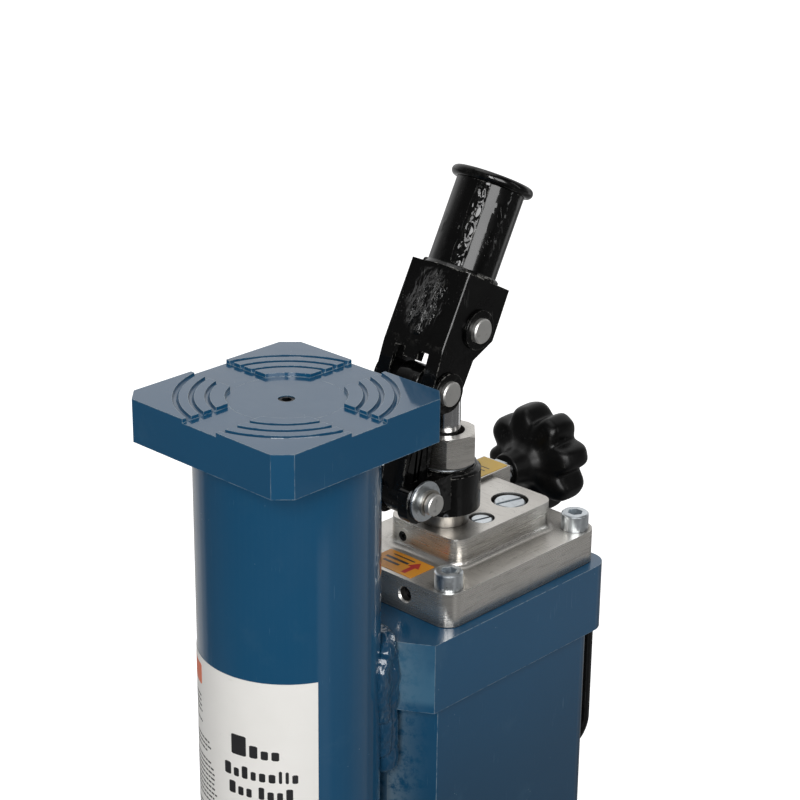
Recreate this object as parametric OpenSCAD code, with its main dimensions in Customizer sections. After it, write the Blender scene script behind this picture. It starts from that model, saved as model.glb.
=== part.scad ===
// Hydraulic toe jack: a lifting column with head plate and toe slides on a fixed
// guide column; hand pump with swivelling lever, oil tank and release valve at the back.
// Axes: +Z up, origin on the ground at the column axis, toe towards -Y, pump towards +Y.

/* [Head plate] */
// Side of the square head plate
head_side = 120; // [118:0.5:122]
// Height of the top of the head plate above the ground, lowered
head_top = 368; // [366:0.5:372]
// Thickness of the head plate
head_t = 24; // [22:0.5:26]
// Corner chamfer of the head plate
head_chamfer = 8.3; // [4:0.1:10]
// Width of the cross channels in the head plate's face
channel_w = 25; // [18:1:30]
// Depth of the grooves in the head plate's face
groove_d = 2.2; // [1.5:0.1:3]

/* [Lifting tube and cylinder] */
// Outer radius of the lifting tube
tube_r = 49.5; // [49:0.1:50]
// Bore radius of the lifting tube
tube_bore_r = 42; // [41.9:0.05:42]
// Outer radius of the fixed guide column
column_r = 41; // [40.9:0.05:41]
// Outer radius of the cylinder barrel
barrel_r = 31; // [30:0.1:31]
// Bore radius of the cylinder barrel
barrel_bore_r = 20; // [19.95:0.01:20]
// Radius of the fixed ram rod
ram_r = 15; // [14.9:0.01:15]

/* [Toe and base] */
// Height of the toe's lifting face above the ground, lowered
toe_top = 25; // [24:0.5:28]
// Width of the toe
toe_w = 70; // [60:1:72]
// Distance from the column axis to the toe's tip
toe_reach = 120; // [110:1:124]
// Thickness of the base plate and the legs
base_t = 12; // [12:0.1:12.5]
// Length of a leg in front of its pivot
leg_len = 120; // [100:1:130]

/* [Tank] */
// Half width of the tank collar
collar_x = 54; // [53:0.5:56]
// Half width of the tank shell
tank_x = 48; // [46:0.5:49]
// Top of the tank collar
collar_top = 220.5; // [220.5:0.1:220.5]
// Underside of the tank collar
collar_low = 178.5; // [176:0.5:182]

/* [Pump] */
// Distance of the pump axis behind the column axis
pump_y = 123; // [122.8:0.1:123]
// Radius of the pump plunger
plunger_r = 8; // [7.98:0.01:8]
// Top of the pump block's raised part
block_top = 258; // [257.8:0.1:258]
// Across-flats size of the gland nut
nut_af = 32; // [30:0.5:33]

/* [Lever] */
// Outer radius of the handle socket
socket_r = 19.5; // [19:0.1:20]
// Bore radius of the handle socket
socket_bore_r = 16; // [15.5:0.1:16.5]
// Lean of the lever behind vertical at rest, in degrees
lever_lean = 28; // [28:0.5:28]

/* [Release valve] */
// Radius over the lobes of the star knob
knob_r = 33.5; // [32:0.5:34]
// Number of lobes on the star knob
knob_lobes = 8; // [7:1:9]

/* [Hidden] */
$fn = 64;

BLUE = [0.10, 0.27, 0.40];
BLACK = [0.07, 0.07, 0.08];
ZINC = [0.78, 0.80, 0.82];
STEEL = [0.62, 0.62, 0.63];
CAST = [0.74, 0.73, 0.71];
BRASS = [0.76, 0.60, 0.30];
RUBBER = [0.15, 0.15, 0.16];
IVORY = [0.85, 0.82, 0.72];
WHITE = [0.93, 0.93, 0.93];
ORANGE = [0.93, 0.55, 0.10];
YELLOW = [0.87, 0.68, 0.15];

fit = 0.05;                             // gap between neighbouring parts
axis = [0, 0];                          // column axis, in X and Y
pump = [0, pump_y];                     // pump axis, in X and Y
port = [0, 205];                        // pressure connection's axis, in X and Z
port_r = 6;

// ---- helpers ----
module ring(outer_r, inner_r, z_low, z_high) {
  rotate_extrude()
    translate([inner_r, z_low]) square([outer_r - inner_r, z_high - z_low]);
}
// upright cylinder at a place given in X and Y
module post(place, r, z, h) {
  translate([place[0], place[1], z]) cylinder(r = r, h = h);
}
module hexagon(flats, h) {
  cylinder(r = flats / sqrt(3), h = h, $fn = 6);
}
// turns the children's Z towards +X, about an axis given in Y and Z
module toward_x(line, x) {
  translate([x, line[0], line[1]]) rotate([0, 90, 0]) children();
}
// turns the children's Z towards +Y, about an axis given in X and Z
module toward_y(line, y) {
  translate([line[0], y, line[1]]) rotate([-90, 0, 0]) children();
}
module along_x(line, r, start, end) {
  toward_x(line, start) cylinder(r = r, h = end - start);
}
module along_y(line, r, start, end) {
  toward_y(line, start) cylinder(r = r, h = end - start);
}
module hex_x(line, flats, start, end) {
  toward_x(line, start) hexagon(flats, end - start);
}
module hex_y(line, flats, start, end) {
  toward_y(line, start) hexagon(flats, end - start);
}
// outline drawn in Y and Z, given thickness t from x towards +X
module yz_plate(x, t) {
  translate([x, 0, 0]) rotate([90, 0, 90]) linear_extrude(t) children();
}
// mirrored pair of washers or sleeves on a pin that lies along X
module washer_pair(pin, r, bore_r, x_in, x_out) {
  for (side = [-1, 1]) difference() {
    along_x(pin, r, side > 0 ? x_in : -x_out, side > 0 ? x_out : -x_in);
    along_x(pin, bore_r, -30, 30);
  }
}
// the children as drawn, and mirrored to -X
module both_sides() {
  for (side = [-1, 1]) mirror([side < 0 ? 1 : 0, 0, 0]) children();
}
// rounded rectangle, symmetric about X = 0
module rounded_rect(half_x, y_low, y_high, r) {
  translate([-half_x + r, y_low]) square([2 * half_x - 2 * r, y_high - y_low]);
  translate([-half_x, y_low + r]) square([2 * half_x, y_high - y_low - 2 * r]);
  for (x = [-half_x + r, half_x - r], y = [y_low + r, y_high - r])
    translate([x, y]) circle(r);
}
// quarter bend of a round bar, in the YZ plane
module elbow(bend_r, r, turn) {
  rotate([0, turn, 0]) rotate_extrude(angle = 90)
    translate([bend_r, 0]) circle(r, $fn = 32);
}
module spring(r, wire_r, z_low, z_high, turns) {
  translate([0, 0, z_low])
    linear_extrude(height = z_high - z_low, twist = -360 * turns,
                   slices = 10 * turns, segments = 8, $fn = 8)
      translate([r, 0]) circle(wire_r, $fn = 8);
}

// ---- base and legs ----
pivot = [66, -30];                      // leg pivot on the +X side
ear_r = 24;                             // round end of ear and leg
ear_t = 5.9;                            // thickness of the base plate's ear
lap_z = 6;                              // underside of the leg over the ear
pivot_r = 6;                            // bolt's foot in the ear
bolt_r = 8;                             // base bolt, and pivot bolt in the leg
bolt_recess = 6;                        // depth of the base bolt's recess
base_outline = [                        // X, Y
  [40, -43], [46, -37], [46, 136], [32, 150],
  [-32, 150], [-46, 136], [-46, -37], [-40, -43]];
ear_neck = [[40, -36], [40, 14], [54, 14], [76, -8], pivot];

module base_plate() {
  color(BLUE) difference() {
    union() {
      linear_extrude(base_t) polygon(base_outline);
      both_sides() {
        post(pivot, ear_r, 0, ear_t);
        linear_extrude(base_t) polygon(ear_neck);
      }
    }
    for (side = [-1, 1]) {
      post([side * pivot[0], pivot[1]], ear_r + 0.6, ear_t, 20);
      post([side * pivot[0], pivot[1]], pivot_r, -1, 20);
    }
    post(axis, bolt_r + fit, -1, 20);
    post(axis, 12.5, -1, bolt_recess + 1);
    for (y = [75, 115]) post([0, y], 9, -1, 20);
  }
}
module base_bolt() {
  color(STEEL) difference() {
    union() {
      cylinder(r = 12, h = bolt_recess - fit);
      post(axis, bolt_r, 5, 33);
    }
    // pair of blind holes in the head
    for (x = [-7.5, 7.5]) post([x, 0], 1.6, -1, 4.5);
  }
}
module leg_pivot_bolts() {
  for (side = [-1, 1]) translate([side * pivot[0], pivot[1], 0]) color(STEEL) difference() {
    union() {
      post(axis, 12.5, base_t + 0.1, 5.4);
      post(axis, 11.3, base_t + 5, 1.6);
      post(axis, bolt_r, lap_z - fit, 8);
      post(axis, pivot_r - fit, 0.4, 8);
    }
    translate([0, 0, base_t + 2.5]) hexagon(8, 10);
  }
}
// leg on the +X side, half lapped over the ear
module leg() {
  x = pivot[0];
  y = pivot[1];
  half_w = 22;
  color(BLUE) difference() {
    union() {
      post(pivot, ear_r, lap_z, base_t - lap_z);
      linear_extrude(base_t) polygon([
        [x - half_w, y], [x + half_w, y],
        [x + half_w, y - leg_len + 14], [x + 10, y - leg_len],
        [x - 12, y - leg_len], [x - half_w, y - leg_len + 10]]);
    }
    post(pivot, ear_r + 0.6, -1, lap_z + 1);
    post(pivot, bolt_r + fit, -1, 20);
  }
}
module leg_left() { mirror([1, 0, 0]) leg(); }
module leg_right() { leg(); }

// ---- fixed guide column and ram ----
column_top = 300;
column_in_r = 33;
band_groove = [282, 296];               // Z limits
band_groove_r = 39;
piston_low = 316;
piston_top = 336;
spigot_r = 10;                          // rod's end through the piston
seal_floor_r = 16.5;
seal_grooves = [[321, 326], [329, 333]];  // Z limits

module guide_column() {
  color(STEEL) difference() {
    post(axis, column_r, base_t, column_top - base_t);
    post(axis, column_in_r, base_t - 1, 400);
    // slot round the pressure connection, open at the top
    translate([-11, 0, port[1] - 13]) cube([22, 60, 200]);
    ring(column_r + 2, band_groove_r, band_groove[0], band_groove[1]);
  }
}
module column_guide_band() {
  color(BRASS) difference() {
    ring(tube_bore_r - fit, band_groove_r + fit, band_groove[0] + 0.1, band_groove[1] - 0.1);
    translate([-12.5, 0, 270]) cube([25, 60, 40]);
  }
}
module ram_rod() {
  color(ZINC) difference() {
    union() {
      post(axis, 32, base_t, 14);
      post(axis, ram_r, base_t, piston_low - base_t);
      post(axis, spigot_r, 300, 46);
    }
    cylinder(r = bolt_r + fit, h = 42);
  }
}
module piston_head() {
  color(STEEL) difference() {
    ring(barrel_bore_r - fit, spigot_r + fit, piston_low, piston_top);
    for (groove = seal_grooves) ring(30, seal_floor_r, groove[0], groove[1]);
  }
}
module piston_seals() {
  for (groove = seal_grooves) color(RUBBER)
    ring(barrel_bore_r - fit, seal_floor_r + fit, groove[0] + fit, groove[1] - fit);
}
module piston_nut() {
  color(STEEL) difference() {
    translate([0, 0, piston_top + fit]) hexagon(30, 8.5);
    post(axis, spigot_r + fit, 330, 30);
  }
}

// ---- lifting column ----
channel_z = head_top - groove_d;        // floor of the head plate's channels
tube_low = 14;
bush_r = 45;                            // counterbore at the tube's foot
bush_top = 56;
barrel_low = 34;
gland_r = 26;                           // counterbore at the barrel's foot
gland_top = 52;
wiper_r = 19;
wiper_top = 38;
vent_r = 4.5;
passage_y = 25.5;                       // upright passage in the barrel's wall
passage_r = 2;
face_grooves = [                        // inner radius, outer radius
  [39.4, 42.2], [47.5, 50.5], [55.4, 58.7]];

module lifting_tube() {
  color(BLUE) difference() {
    post(axis, tube_r, tube_low, head_top - head_t - tube_low);
    cylinder(r = tube_bore_r, h = 400);
    cylinder(r = bush_r, h = bush_top);
    along_y(port, 8, 30, 60);
  }
}
module tube_guide_bush() {
  color(BRASS) ring(bush_r - fit, column_r + fit, 16, bush_top - 0.1);
}
module head_plate() {
  half = head_side / 2;
  flat = half - head_chamfer;
  color(BLUE) difference() {
    translate([0, 0, head_top - head_t]) linear_extrude(head_t)
      polygon([[flat, -half], [half, -flat], [half, flat], [flat, half],
        [-flat, half], [-half, flat], [-half, -flat], [-flat, -half]]);
    post(axis, barrel_r + fit, 300, 100);
    post(axis, 31.9, channel_z, 10);
    translate([-channel_w / 2, -half - 1, channel_z]) cube([channel_w, head_side + 2, 10]);
    translate([-half - 1, -channel_w / 2, channel_z]) cube([head_side + 2, channel_w, 10]);
    for (groove = face_grooves) {
      floor_r = (groove[1] - groove[0]) / 2;
      rotate_extrude() {
        translate([(groove[0] + groove[1]) / 2, channel_z + floor_r])
          circle(floor_r, $fn = 24);
        translate([groove[0], channel_z + floor_r]) square([groove[1] - groove[0], 5]);
      }
    }
  }
}
module cylinder_barrel() {
  color(BLUE) difference() {
    post(axis, barrel_r, barrel_low, channel_z - barrel_low);
    post(axis, barrel_bore_r, 20, 330);
    post(axis, gland_r, 20, gland_top - 20);
    post(axis, vent_r, 340, 60);
    along_y(port, port_r, 22.6, 40);
    // passage from the pressure connection up to the top of the bore
    post([0, passage_y], passage_r, port[1], 142.3);
    along_y([0, 345.5], 1.6, 15, 27);
  }
}
module vent_screw() {
  color(BLACK) difference() {
    post(axis, vent_r - fit, 353, 12.3);
    translate([0, 0, 359.5]) hexagon(5, 10);
  }
}
module cylinder_gland() {
  color(STEEL) difference() {
    post(axis, gland_r - fit, barrel_low, gland_top - 0.1 - barrel_low);
    post(axis, ram_r + fit, 20, 60);
    post(axis, wiper_r, 30, wiper_top - 30);
    // four blind holes in the underside
    for (a = [0, 90, 180, 270]) rotate(a) post([22.5, 0], 1.8, 30, 10);
  }
}
module rod_wiper() {
  color(RUBBER) ring(wiper_r - fit, ram_r + fit, barrel_low + 0.1, wiper_top - 0.1);
}
module toe() {
  half_w = toe_w / 2;
  back = -44;
  gusset_inset = 3;
  color(BLUE) difference() {
    union() {
      // outlines in Z and Y
      translate([half_w, 0, 0]) rotate([0, -90, 0]) linear_extrude(toe_w)
        polygon([[3, back], [13.8, back], [14.2, back], [toe_top, back],
          [toe_top, -toe_reach + 2], [toe_top - 2, -toe_reach],
          [10, -toe_reach], [3, -toe_reach + 12]]);
      translate([half_w - gusset_inset, 0, 0]) rotate([0, -90, 0])
        linear_extrude(toe_w - 2 * gusset_inset)
          polygon([[14.2, -35], [14.2, -66], [96, -66], [110, -54], [110, -35]]);
    }
    post(axis, tube_r + fit, tube_low, 200);
    // cross grooves in the lifting face
    for (y = [-76, -86, -96, -106])
      translate([-50, y - 1.5, toe_top - 1]) cube([100, 3, 5]);
  }
}
module toe_weld() {
  gusset_x = 32.05;
  for (side = [-1, 1]) color(BLUE) difference() {
    post([side * 35, -35.5], 6, 26, 84);
    cylinder(r = tube_r + fit, h = 200);
    translate([-gusset_x, -70, 0]) cube([2 * gusset_x, 60, 200]);
  }
}
module tube_label() {
  color(WHITE) translate([0, 0, 112]) rotate([0, 0, -154])
    rotate_extrude(angle = 128) translate([tube_r + fit, 0]) square([0.25, 114]);
}

// ---- tank ----
tank_front = 52;
tank_back = 203.5;
tank_wall = 4;
floor_low = 22;
floor_t = 5;
floor_top = floor_low + floor_t;
collar_front = 47;
filler = [128, 200];                    // filler axis, in Y and Z
filler_r = 8;
screw_x = 37.7;
screw_front = 85.5;
screw_hole_r = 5;
screws = [                              // X, Y
  [screw_x, screw_front], [-screw_x, screw_front], [screw_x, 194.5], [-screw_x, 160]];

// plan with chamfered front corners and rounded back corners
module tank_plan(half_x, front, back, chamfer_x, chamfer_y, r) {
  polygon([[-half_x + chamfer_x, front], [half_x - chamfer_x, front],
    [half_x, front + chamfer_y], [half_x, back - r],
    [-half_x, back - r], [-half_x, front + chamfer_y]]);
  translate([-half_x + r, back - r - 1]) square([2 * (half_x - r), r + 1]);
  for (side = [-1, 1]) translate([side * (half_x - r), back - r]) circle(r);
}
module tank_outline() {
  tank_plan(tank_x, tank_front, tank_back, 24, 15.5, 12);
}
module tank_shell() {
  color(BLUE) translate([0, 0, floor_top]) linear_extrude(collar_low - floor_top) difference() {
    tank_outline();
    tank_plan(tank_x - tank_wall, tank_front + tank_wall, tank_back - tank_wall, 21.4, 13.5, 8);
  }
}
module tank_floor() {
  color(BLUE) translate([0, 0, floor_low]) linear_extrude(floor_t) tank_outline();
}
module tank_collar() {
  color(BLUE) difference() {
    translate([0, 0, collar_low]) linear_extrude(collar_top - collar_low) difference() {
      tank_plan(collar_x, collar_front, 209, 18, 11, 12);
      rounded_rect(28, 82, 186, 6);
    }
    // hollow below, in front of the opening
    translate([-27, 64, collar_low - 1]) cube([54, 36, 217 - collar_low]);
    cylinder(r = tube_r + 0.1, h = 300);
    for (place = screws) post(place, screw_hole_r + fit, 200, 30);
    along_y(port, port_r + fit, 30, 70);
    along_x(filler, filler_r + fit, -60, -25);
  }
}
// fillets where the collar and the shell meet the lifting tube
module tank_weld() {
  fillets = [                           // X, Y, Z, height, cut-off Y
    [28, 42, collar_low + fit, collar_top - collar_low + 2, collar_front - fit],
    [25, 44, 140, collar_low - 140, tank_front - fit]];
  both_sides() for (fillet = fillets) color(BLUE) difference() {
    post(fillet, 9, fillet[2], fillet[3]);
    cylinder(r = tube_r + fit, h = 300);
    translate([0, fillet[4], 100]) cube([60, 60, 200]);
  }
}
module carry_handle() {
  z_low = 62;
  z_high = 170;
  grip_y = 257;
  bend_r = 14;
  bar_r = 5;
  foot_y = tank_back + fit;
  bend_y = grip_y - bend_r;
  color(BLACK) {
    for (z = [z_low, z_high]) {
      along_y([0, z], bar_r, foot_y, bend_y);
      along_y([0, z], 7.5, foot_y, foot_y + 2.5);
    }
    post([0, grip_y], bar_r, z_low + bend_r, z_high - z_low - 2 * bend_r);
    translate([0, bend_y, z_low + bend_r]) elbow(bend_r, bar_r, 90);
    translate([0, bend_y, z_high - bend_r]) elbow(bend_r, bar_r, -90);
  }
}
module filler_plug() {
  color(ZINC) difference() {
    union() {
      hex_x(filler, 22, -collar_x - 7, -collar_x);
      along_x(filler, filler_r, -collar_x - 1, -collar_x + 17);
    }
    hex_x(filler, 8, -collar_x - 16, -collar_x - 2);
  }
}

// ---- pressure line from the barrel to the pump block ----
pipe_r = 4;
pipe_bore_r = 2;
pipe_bend_y = 84;
pipe_bend_r = 8;
pipe_y = pipe_bend_y + pipe_bend_r;     // upright end of the pipe

module pressure_adapter() {
  color(ZINC) difference() {
    union() {
      along_y(port, port_r - fit, 22.7, 66.5);
      hex_y(port, 17, 66.05, 72);
    }
    along_y(port, pipe_bore_r, 20, 80);
    along_y(port, pipe_r + fit, 69, 80);
    post([0, passage_y], passage_r, port[1], 10);
  }
}
module pipe_run(r, start, rise) {
  along_y(port, r, start, pipe_bend_y);
  translate([0, pipe_bend_y, port[1] + pipe_bend_r]) elbow(pipe_bend_r, r, 90);
  post([0, pipe_y], r, port[1] + pipe_bend_r, rise);
}
module pressure_pipe() {
  color(ZINC) difference() {
    pipe_run(pipe_r, 69.1, 16);
    pipe_run(pipe_bore_r, 69, 30);
  }
}

// ---- pump block ----
block_low = 221;
flange_top = 241;
raised_x = 27.5;                        // raised part: half width, Y limits, corner
raised_front = 104;
raised_back = 187.5;
raised_r = 8;
pad_top = 260.2;                        // label pad beside the raised part
large_plug = [109.5 - 100, 168.5];      // check valve plugs, in X and Y
small_plug = [14.5, 138.5];
large_bores = [[5, 228], [8, 241], [11, 250.5]];    // radius, floor Z
small_bores = [[4, 226], [5, 243], [7.5, 251.5]];   // radius, floor Z
safety = [-15, 248];                    // safety valve's axis, in X and Z
front_port = [14.3, 231.6];             // port in the front face, in X and Z
suction = [-19, 150];                   // suction tube's axis, in X and Y
suction_r = 4;
valve = [-30.4, 251.5];                 // release valve's axis, in X and Z
pump_barrel_r = 12.5;

module block_gasket() {
  gap = 0.02;
  color(RUBBER) translate([0, 0, collar_top + gap])
    linear_extrude(block_low - collar_top - 2 * gap) difference() {
      rounded_rect(47.6, 75.1, 204.9, 10);
      rounded_rect(28, 78, 180, 6);
      for (place = screws) translate(place) circle(5.4);
    }
}
// section of a concave fillet, reaching one unit into the wall at X = wall
module cove_section(wall, cove_r) {
  difference() {
    translate([wall - 1, 0]) square([cove_r + 1, cove_r]);
    translate([wall + cove_r, cove_r]) circle(cove_r, $fn = 32);
  }
}
// concave fillet round the foot of a rounded block, symmetric about X = 0
module cove(half_x, front, back, r, cove_r) {
  length_x = 2 * half_x - 2 * r;
  length_y = back - front - 2 * r;
  sides = [                             // start X, start Y, length, turn
    [-half_x + r, front, length_x, 0], [half_x, front + r, length_y, 90],
    [half_x - r, back, length_x, 180], [-half_x, back - r, length_y, 270]];
  corners = [                           // X, Y, turn
    [half_x - r, back - r, 0], [-half_x + r, back - r, 90],
    [-half_x + r, front + r, 180], [half_x - r, front + r, 270]];
  for (run = sides)
    translate([run[0], run[1], 0]) rotate([0, 0, run[3]])
      rotate([90, 0, 90]) linear_extrude(run[2])
        difference() {
          translate([-cove_r, 0]) square([cove_r + 1, cove_r]);
          translate([-cove_r, cove_r]) circle(cove_r, $fn = 32);
        }
  for (corner = corners)
    translate([corner[0], corner[1], 0]) rotate([0, 0, corner[2]])
      rotate_extrude(angle = 90) cove_section(r, cove_r);
}
module pump_block() {
  color(CAST) difference() {
    union() {
      translate([0, 0, block_low]) linear_extrude(flange_top - block_low)
        rounded_rect(47.7, 75, 205, 10);
      translate([0, 0, flange_top - 1]) linear_extrude(block_top - flange_top + 1)
        rounded_rect(raised_x, raised_front, raised_back, raised_r);
      translate([0, 0, flange_top]) cove(raised_x, raised_front, raised_back, raised_r, 4);
      translate([-41, 172, flange_top - 1]) cube([21.2, 30.7, pad_top - flange_top + 1]);
    }
    for (place = screws) {
      post(place, 5.25, 0, 300);
      post(place, 9.6, flange_top + 0.01, 60);
    }
    post(pump, pump_barrel_r + fit, 200, 100);
    for (bore = large_bores) post(large_plug, bore[0], bore[1], 60);
    for (bore = small_bores) post(small_plug, bore[0], bore[1], 60);
    along_y(safety, 3.05, 100, 116);
    along_y(safety, 1, 100, 120);
    along_y(front_port, 4.2, 70, 97);
    toward_y(front_port, 74.9) cylinder(r1 = 5.2, r2 = 4.1, h = 1.3);
    // release valve's bore, seat hole and the passage below it
    along_y(valve, 6.05, 184, 210);
    along_y(valve, 1.5, 176, 190);
    post([valve[0], 177.5], 1.5, 228, valve[1] - 228);
    post([0, pipe_y], pipe_r + fit, 200, 30);
    post(suction, suction_r + fit, 200, 32);
  }
}
module block_screws() {
  head_r = 8;
  head_z = 251;
  for (place = screws) translate([place[0], place[1], 0]) color(ZINC) difference() {
    union() {
      rotate_extrude() polygon([[0, flange_top + fit], [head_r, flange_top + fit],
        [head_r, head_z - 0.8], [head_r - 0.8, head_z], [0, head_z]]);
      post(axis, screw_hole_r, 202, 42);
    }
    translate([0, 0, 245.5]) hexagon(8, 10);
  }
}
module slotted_plug(place, r, stem_r, stem_z, head_z, top, slot_w) {
  translate([place[0], place[1], 0]) rotate(74) difference() {
    union() {
      rotate_extrude() polygon([[0, head_z], [r, head_z], [r, top - 1], [r - 1, top], [0, top]]);
      post(axis, stem_r, stem_z, head_z - stem_z + 1);
    }
    translate([-r - 1, -slot_w / 2, top - 2.4]) cube([2 * r + 2, slot_w, 5]);
  }
}
module valve_plugs() {
  color(ZINC) slotted_plug(large_plug, r = 9.3, stem_r = 7.95, stem_z = 243,
    head_z = 250.55, top = 257.3, slot_w = 2.2);
  color(ZINC) slotted_plug(small_plug, r = 6.6, stem_r = 4.95, stem_z = 245,
    head_z = 251.55, top = 257.2, slot_w = 1.8);
}
module check_balls() {
  color(ZINC) translate([large_plug[0], large_plug[1], 233]) sphere(4.4, $fn = 32);
  color(ZINC) translate([small_plug[0], small_plug[1], 230.2]) sphere(3.6, $fn = 32);
}
module check_springs() {
  color(STEEL) translate([large_plug[0], large_plug[1], 0])
    spring(r = 3.2, wire_r = 0.5, z_low = 238, z_high = 242.6, turns = 3);
  color(STEEL) translate([small_plug[0], small_plug[1], 0])
    spring(r = 2.4, wire_r = 0.45, z_low = 234.4, z_high = 244.4, turns = 4);
}
// poppet, spring and hollow set screw, from back to front
module safety_valve() {
  color(BRASS) toward_y(safety, 111.4) rotate_extrude()
    polygon([[0, 0], [2.4, 0], [2.4, 2], [0.6, 3.9], [0, 3.9]]);
  color(STEEL) toward_y(safety, 0)
    spring(r = 1.9, wire_r = 0.4, z_low = 107.3, z_high = 111.2, turns = 3);
  color(BLACK) difference() {
    along_y(safety, 3, 104.5, 107.1);
    hex_y(safety, 2.5, 104, 106.2);
  }
}
module port_plugs() {
  color(BLACK) difference() {
    along_y(front_port, 4.15, 80, 87);
    hex_y(front_port, 4, 79, 84);
  }
}
module notice_labels() {
  label_t = 0.2;
  color(ORANGE) translate([-18, 78, flange_top + fit]) cube([34, 19.8, label_t]);
  color(YELLOW) translate([-39.8, 173, pad_top + fit]) cube([18.8, 28.6, label_t]);
}
module suction_tube() {
  color(STEEL) translate([suction[0], suction[1], 0]) ring(suction_r, 2.5, 60, 231);
}
module suction_strainer() {
  outer_r = 12;
  z_low = 44;
  z_high = 70;
  color(BRASS) translate([suction[0], suction[1], 0]) difference() {
    union() {
      ring(outer_r, 10.5, z_low, z_high);
      ring(outer_r, suction_r + fit, z_high - 4, z_high);
      ring(outer_r, 0, z_low, z_low + 1.5);
    }
    for (a = [0 : 45 : 315], z = [50, 56, 62])
      rotate([0, 0, a]) along_x([0, z], 1.8, 8, 14);
  }
}

// ---- pump barrel and plunger ----
seat_r = 10.5;                          // seal seats in the barrel and the nut
seat_z = 276;                           // floor of the barrel's seat
nut_seat_z = 305;                       // floor of the nut's seat
nut_low = 294.3;

module pump_barrel() {
  color(STEEL) translate([0, pump_y, 0]) difference() {
    union() {
      post(axis, pump_barrel_r, 198, 96.2);
      post(axis, 13.6, block_top + fit, 9.3);
    }
    post(axis, plunger_r + fit, 203, 100);
    post(axis, 2, 190, 30);
    post(axis, seat_r, seat_z, 30);
  }
}
module plunger_seals() {
  seals = [                             // Z limits, colour
    [seat_z + fit, 280, RUBBER], [280.1, 283.9, IVORY], [nut_seat_z + fit, 308, RUBBER]];
  for (seal = seals) translate([0, pump_y, 0])
    color(seal[2]) ring(seat_r - fit, plunger_r + fit, seal[0], seal[1]);
}
module gland_nut() {
  corner_r = nut_af / sqrt(3);
  flat_r = nut_af / 2;
  color(CAST) translate([0, pump_y, 0]) difference() {
    union() {
      // hexagon with its corners turned down at both ends
      intersection() {
        translate([0, 0, nut_low]) rotate([0, 0, -46.5]) hexagon(nut_af, 18.7);
        rotate_extrude() polygon([[0, 293], [flat_r - 0.6, 293], [flat_r - 0.6, nut_low],
          [corner_r + 0.6, 297], [corner_r + 0.6, 311.4], [flat_r + 0.4, 313.2], [0, 313.2]]);
      }
      post(axis, seat_r - fit, 284, 12);
    }
    post(axis, plunger_r + fit, 280, 40);
    post(axis, seat_r, nut_seat_z, 20);
  }
}
module thrust_washer() {
  color(BRASS) translate([0, pump_y, 0])
    ring(16, pump_barrel_r + fit, nut_low - 0.28, nut_low - 0.02);
}

// ---- release valve ----
insert_r = 7;
stem_r = 5;

module spindle_gland() {
  color(ZINC) difference() {
    union() {
      along_y(valve, 6, 190, 203);
      hex_y(valve, 15, 202.75, 207);
    }
    along_y(valve, stem_r, 170, 210);
  }
}
module release_spindle() {
  color(ZINC) toward_y(valve, 0) rotate_extrude()
    polygon([[0, 184.4], [1.2, 184.4], [stem_r - fit, 188.4], [stem_r - fit, 228], [0, 228]]);
}
module star_knob() {
  lobe_r = 8.5;
  profile = [                           // radius, Y
    [0, 210], [9.4, 210], [10.4, 214], [12.8, 222], [16, 226.5],
    [knob_r - 12, 228.5], [knob_r - 9, 232], [knob_r - 9, 250], [knob_r - 13, 254], [0, 254]];
  color(BLACK) toward_y(valve, 0) difference() {
    union() {
      rotate_extrude() polygon(profile);
      for (i = [0 : knob_lobes - 1]) rotate([0, 0, 15 + i * 360 / knob_lobes])
        post([knob_r - lobe_r, 0], lobe_r, 229, 24);
    }
    post(axis, insert_r + fit, 200, 30);
  }
}
module knob_insert() {
  color(BRASS) toward_y(valve, 0) ring(insert_r, stem_r, 210.2, 229.5);
}

// ---- swivel ring, link and lever ----
plunger_pin = [pump_y, 377.7];          // pins along X, in Y and Z
link_pin = [99, 347.5];                 // lever to link
ring_pin = [88, 285];                   // link to swivel ring
ring_pin_r = 6.2;
ring_hole_r = 6.25;
lever_pin_r = 7;
pin_hole_r = lever_pin_r + fit;
link_x = 8;                             // half width of the link
cheek_in = 8.1;                         // swivel ring's cheeks, in X
cheek_out = 15.6;
bracket_in = 17.5;                      // lever bracket's cheeks, in X
bracket_out = 21.5;
bracket_front = -22.2;                  // front of the bracket, in the lever's frame

// the lever's own frame: origin at the plunger pin, Z along the socket, Y to the back
module lever_frame() {
  translate([0, plunger_pin[0], plunger_pin[1]]) rotate([-lever_lean, 0, 0]) children();
}
function lever_local(pin) = let(dy = pin[0] - plunger_pin[0], dz = pin[1] - plunger_pin[1])
  [dy * cos(lever_lean) - dz * sin(lever_lean), dy * sin(lever_lean) + dz * cos(lever_lean)];
link_local = lever_local(link_pin);

module swivel_ring() {
  profile = [                           // radius, Z
    [10, 267.5], [20, 267.5], [20, 290.6], [18.6, 292], [17.5, 292.3], [17.5, 294], [10, 294]];
  color(BLACK) difference() {
    union() {
      translate([0, pump_y, 0]) rotate_extrude() polygon(profile);
      for (x = [-cheek_out, cheek_in]) yz_plate(x, cheek_out - cheek_in) {
        translate([84.5, 272.5]) square([26, 21.3]);
        translate([75, 281.5]) square([20, 8.3]);
        translate([84, 281.5]) circle(9);
        translate([79, 289.8]) circle(4);
        translate([79, 284]) square([20, 9.8]);
      }
    }
    post(pump, pump_barrel_r + fit, 200, 120);
    along_x(ring_pin, ring_hole_r, -20, 20);
  }
}
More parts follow.
